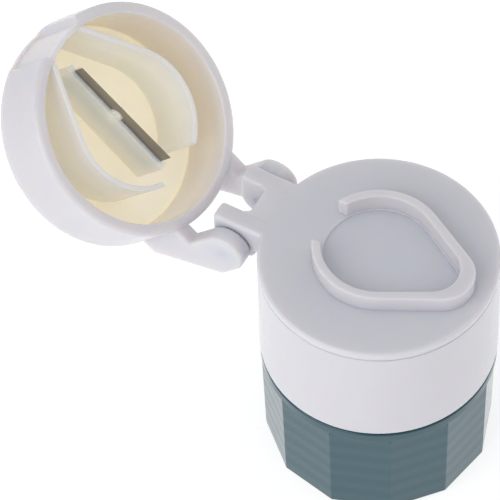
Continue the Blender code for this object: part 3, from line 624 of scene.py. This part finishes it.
lid_steps = []
for side in (-1, 1):
    half = guide_half(guide_r, guide_reach)
    half += guide_half(guide_r + guide_wall, guide_reach)[::-1]
    lid_steps.append(("UNION", slab([(side * x, y) for x, y in half], rim + 0.02, rib_root,
                                    0.25, "low")))
slope = math.radians(arm_slope)
arm_top = crown - 2.0
back_y = hinge.y + (arm_back - math.sin(slope) * (arm_top - hinge.z)) / math.cos(slope)
heel = hinge.z + (arm_back - math.cos(slope) * knuckle_r) / math.sin(slope)
heel -= math.tan(slope / 2.0) * heel_r
arm_side = [(19.0, arm_top), (back_y, arm_top)]
arm_side += arc(hinge.y + knuckle_r - heel_r, heel, heel_r, arm_slope, 0.0, 12)
arm_side += arc(hinge.y, hinge.z, knuckle_r, 0.0, -180.0, 60)
arm_side += [(hinge.y - knuckle_r, rim + 0.4), (19.0, rim + 0.4)]
for x in each_side(arm_near, arm_far):
    lid_steps.append(("UNION", slab(arm_side, *x, arm_round, sideways=True)))
lid_steps.append(("UNION", slab(box_outline(-rib_side, -blade_room, rib_front, rib_back),
                                rib_low, rib_root, 0.12, "low")))
for y in ((rib_front, rib_front + stop_long), (rib_back - stop_long, rib_back)):
    lid_steps.append(("UNION", slab(box_outline(-0.8, 0.45, *y), rib_low, rib_root,
                                    0.1, "low")))
peg_side = arc(peg_y, peg_z, peg_r, 0.0, 350.0, 35)
lid_steps.append(("UNION", slab(peg_side, -0.5, 1.45, 0.15, sideways=True)))


def thumb_notch(wall, level=11.0, sweep=5.5, outside=22.5):
    """Outline cut out of the lid's side: level along the wall, then sweeping out (degrees)."""
    points = []
    for i in range(-33, 34):
        off = i / 2.0
        part = min(1.0, max(0.0, (abs(off) - level) / sweep))
        swept = wall + (outside - wall) * part * part * (3.0 - 2.0 * part)
        a = math.radians(270.0 + off)
        points.append((swept * math.cos(a), swept * math.sin(a)))
    return points + arc(0.0, 0.0, 25.0, 286.5, 253.5, 24)


lid_steps.append(("DIFFERENCE", slab(thumb_notch(lid_r - 1.2), rim - 2.0, ceiling)))
lid_steps.append(("DIFFERENCE", slab(thumb_notch(lid_r - 0.7), ceiling - 0.01, crown + 1.0)))
for x in each_side(6.5, 9.7):
    lid_steps.append(("DIFFERENCE", slab(pin_bore, *x, sideways=True)))
lid_mesh = combined(shell, lid_steps)
lid_mesh.transform(swing)
# Thin white polypropylene from a polished mould: glossy, and light passes right through the wall.
# The inside is painted warmer and brighter than the outside, as painted light.
lid_white = plastic("moulded_white_polypropylene", "#d8d8df", 0.18, 1.0, reach=(5.0, 3.6, 2.4))


def painted_glow_inside(mat):
    """Painted light inside: an ivory tint and a faint glow, most at the closed end, for light
    passed through the wall.
    """
    tree = mat.node_tree
    shader = tree.nodes["Principled BSDF"]
    place = add(tree, "TexCoord").outputs["Object"]
    shut = add(tree, "VectorRotate", {"Vector": place, "Center": hinge * MM,
                                      "Angle": lid_open}, rotation_type="X_AXIS")
    parts = add(tree, "SeparateXYZ", {0: shut.outputs[0]}).outputs
    flat = add(tree, "CombineXYZ", {0: parts[0], 1: parts[1]})
    radius = add(tree, "VectorMath", {0: flat.outputs[0]}, operation="LENGTH").outputs["Value"]
    within = add(tree, "MapRange", {"Value": radius, "From Min": (lid_hollow + 0.15) * MM,
                                    "From Max": (lid_hollow - 0.15) * MM}).outputs[0]
    below = add(tree, "MapRange", {"Value": parts[2], "From Min": (ceiling + 0.5) * MM,
                                   "From Max": (ceiling + 0.2) * MM}).outputs[0]
    depth = add(tree, "MapRange", {"Value": parts[2], "From Min": (rim - 0.5) * MM,
                                   "From Max": (rim + 5.0) * MM, "To Min": 0.25}).outputs[0]
    inside = add(tree, "Math", {0: within, 1: below}, operation="MULTIPLY").outputs[0]
    glow = add(tree, "Math", {0: inside, 1: depth}, operation="MULTIPLY").outputs[0]
    # Painted light: the base colour is painted ivory inside, and the emission adds a painted glow.
    outer = shader.inputs["Base Color"].links[0].from_socket
    tone = add(tree, "MixRGB", {"Fac": glow, "Color1": outer, "Color2": srgb("#f6f0e2")})
    tree.links.new(tone.outputs[0], shader.inputs["Base Color"])
    light = add(tree, "MixRGB", {"Fac": glow, "Color1": srgb("#000000"),
                                 "Color2": srgb("#f4e9d6")})
    tree.links.new(light.outputs[0], shader.inputs["Emission Color"])
    shader.inputs["Emission Strength"].default_value = 0.1


painted_glow_inside(lid_white)
finished("lid", lid_mesh, lid_white, "lid", "lid_plastic", "lid_shell")

# ------------------------------------------------------------------ blade, clamp and pins
# Ground steel strip with one sharpened edge, leaning a little in its rib and shut in by a
# moulded clamp over the rib's peg. Two plain moulded pins join the arms to the lugs.
edge, ground, blade_high, blade_half = rim + 1.0, 1.1, 7.8, 0.15
blade_front, blade_back, blade_lean = -13.8, 10.4, 0.7
clamp_front, clamp_back, clamp_side = -13.5, 10.1, 1.4
blade = bmesh.new()
for y, lean in ((blade_front, blade_lean), (blade_back, 0.0)):
    for x, z in ((0.0, edge), (blade_half, edge + ground), (blade_half, edge + blade_high),
                 (-blade_half, edge + blade_high), (-blade_half, edge + ground)):
        blade.verts.new((x, y, z + lean))
points = list(blade.verts)
blade.faces.new(points[:5])
blade.faces.new(points[5:])
for k in range(5):
    m = (k + 1) % 5
    blade.faces.new((points[k], points[m], points[m + 5], points[k + 5]))
bmesh.ops.recalc_face_normals(blade, faces=blade.faces)
peg_hole = arc(peg_y, peg_z, peg_hole_r, 0.0, 352.5, 47)
blade_mesh = combined(blade, [("DIFFERENCE", slab(peg_hole, -1.0, 1.0, sideways=True))])
blade_mesh.transform(swing)
# Ground stainless steel: grey and half dull, with grinding lines along the strip.
ground_steel = steel("ground_stainless_steel", "#a39e99", 0.36, 1, 0.12)
finished("blade_strip", blade_mesh, ground_steel, "lid", "blade_steel", "blade", sharp=8.0)
clamp = slab(box_outline(blade_room, clamp_side, clamp_front, clamp_back), rib_low,
             ceiling - 0.3, 0.15, "low")
clamp_hole = slab(peg_hole, -1.0, 3.0, sideways=True)
clamp_mesh = combined(clamp, [("DIFFERENCE", clamp_hole)])
clamp_mesh.transform(swing)
finished("clamp_plate", clamp_mesh, lid_white, "lid", "clamp_plastic", "blade_clamp")

pin_near, pin_far = 3.13, 9.6
for word, side in (("left", -1), ("right", 1)):
    ends = sorted((side * pin_near, side * pin_far))
    pin = slab(arc(hinge.y, hinge.z, pin_r, 0.0, 352.5, 47), *ends, 0.05, sideways=True)
    finished("pin_" + word, as_mesh("pin", pin), white, "lid", "pin_plastic",
             "hinge_pin_" + word)

# ------------------------------------------------------------------ floor, light and camera
# Pale table top under soft light from all round with two large softboxes, seen from high
# up on the cup's side through a long lens.
floor_solid = bmesh.new()
bmesh.ops.create_grid(floor_solid, x_segments=2, y_segments=2, size=3.0)
floor = bpy.data.objects.new("floor", as_mesh("floor", floor_solid))
floor.location = (0.0, 0.0, -0.1 * MM)
bpy.context.scene.collection.objects.link(floor)
# Matt backing paper, lit up so that it stays white round the object with only a faint shadow.
paper, _, paper_shader, _ = new_material("matt_backing_paper")
paper_shader.inputs["Base Color"].default_value = srgb("#aaaaaa")
paper_shader.inputs["Roughness"].default_value = 0.9
paper_shader.inputs["Emission Color"].default_value = srgb("#ffffff")
paper_shader.inputs["Emission Strength"].default_value = 0.75
floor.data.materials.append(paper)

world = bpy.data.worlds.new("studio")
bpy.context.scene.world = world
bpy.context.scene.view_settings.view_transform = "Standard"
world.use_nodes = True
world.node_tree.nodes["Background"].inputs["Color"].default_value = srgb("#fcfdff")
world.node_tree.nodes["Background"].inputs["Strength"].default_value = 0.6


def softbox(name, place, size, power):
    """Square area light aimed at the middle of the object; place and size in metres."""
    lamp = bpy.data.lights.new(name, "AREA")
    lamp.size = size
    lamp.energy = power
    obj = bpy.data.objects.new(name, lamp)
    obj.location = place
    aim = Vector((0.0, 0.02, 0.03)) - Vector(place)
    obj.rotation_euler = aim.to_track_quat("-Z", "Y").to_euler()
    bpy.context.scene.collection.objects.link(obj)


softbox("key", (-0.5, 0.15, 0.45), 0.5, 1.4)
softbox("fill", (0.5, -0.5, 0.6), 0.6, 0.4)

bearing, height, distance = math.radians(-150.81), math.radians(56.37), 0.9339
camera = bpy.data.objects.new("camera", bpy.data.cameras.new("camera"))
camera.location = (distance * math.cos(height) * math.cos(bearing),
                   distance * math.cos(height) * math.sin(bearing),
                   distance * math.sin(height))
camera.rotation_mode = "QUATERNION"
level = (-camera.location).to_track_quat("-Z", "Y")
# Where the middle of the view lies in the level camera's own axes, in millimetres.
middle = Vector((-9.27, 11.776, -347.6))
camera.rotation_quaternion = level @ Vector((0.0, 0.0, -1.0)).rotation_difference(middle)
camera.data.sensor_width = 36.0
camera.data.lens = 347.9
bpy.context.scene.collection.objects.link(camera)
bpy.context.scene.camera = camera

bpy.context.view_layer.update()
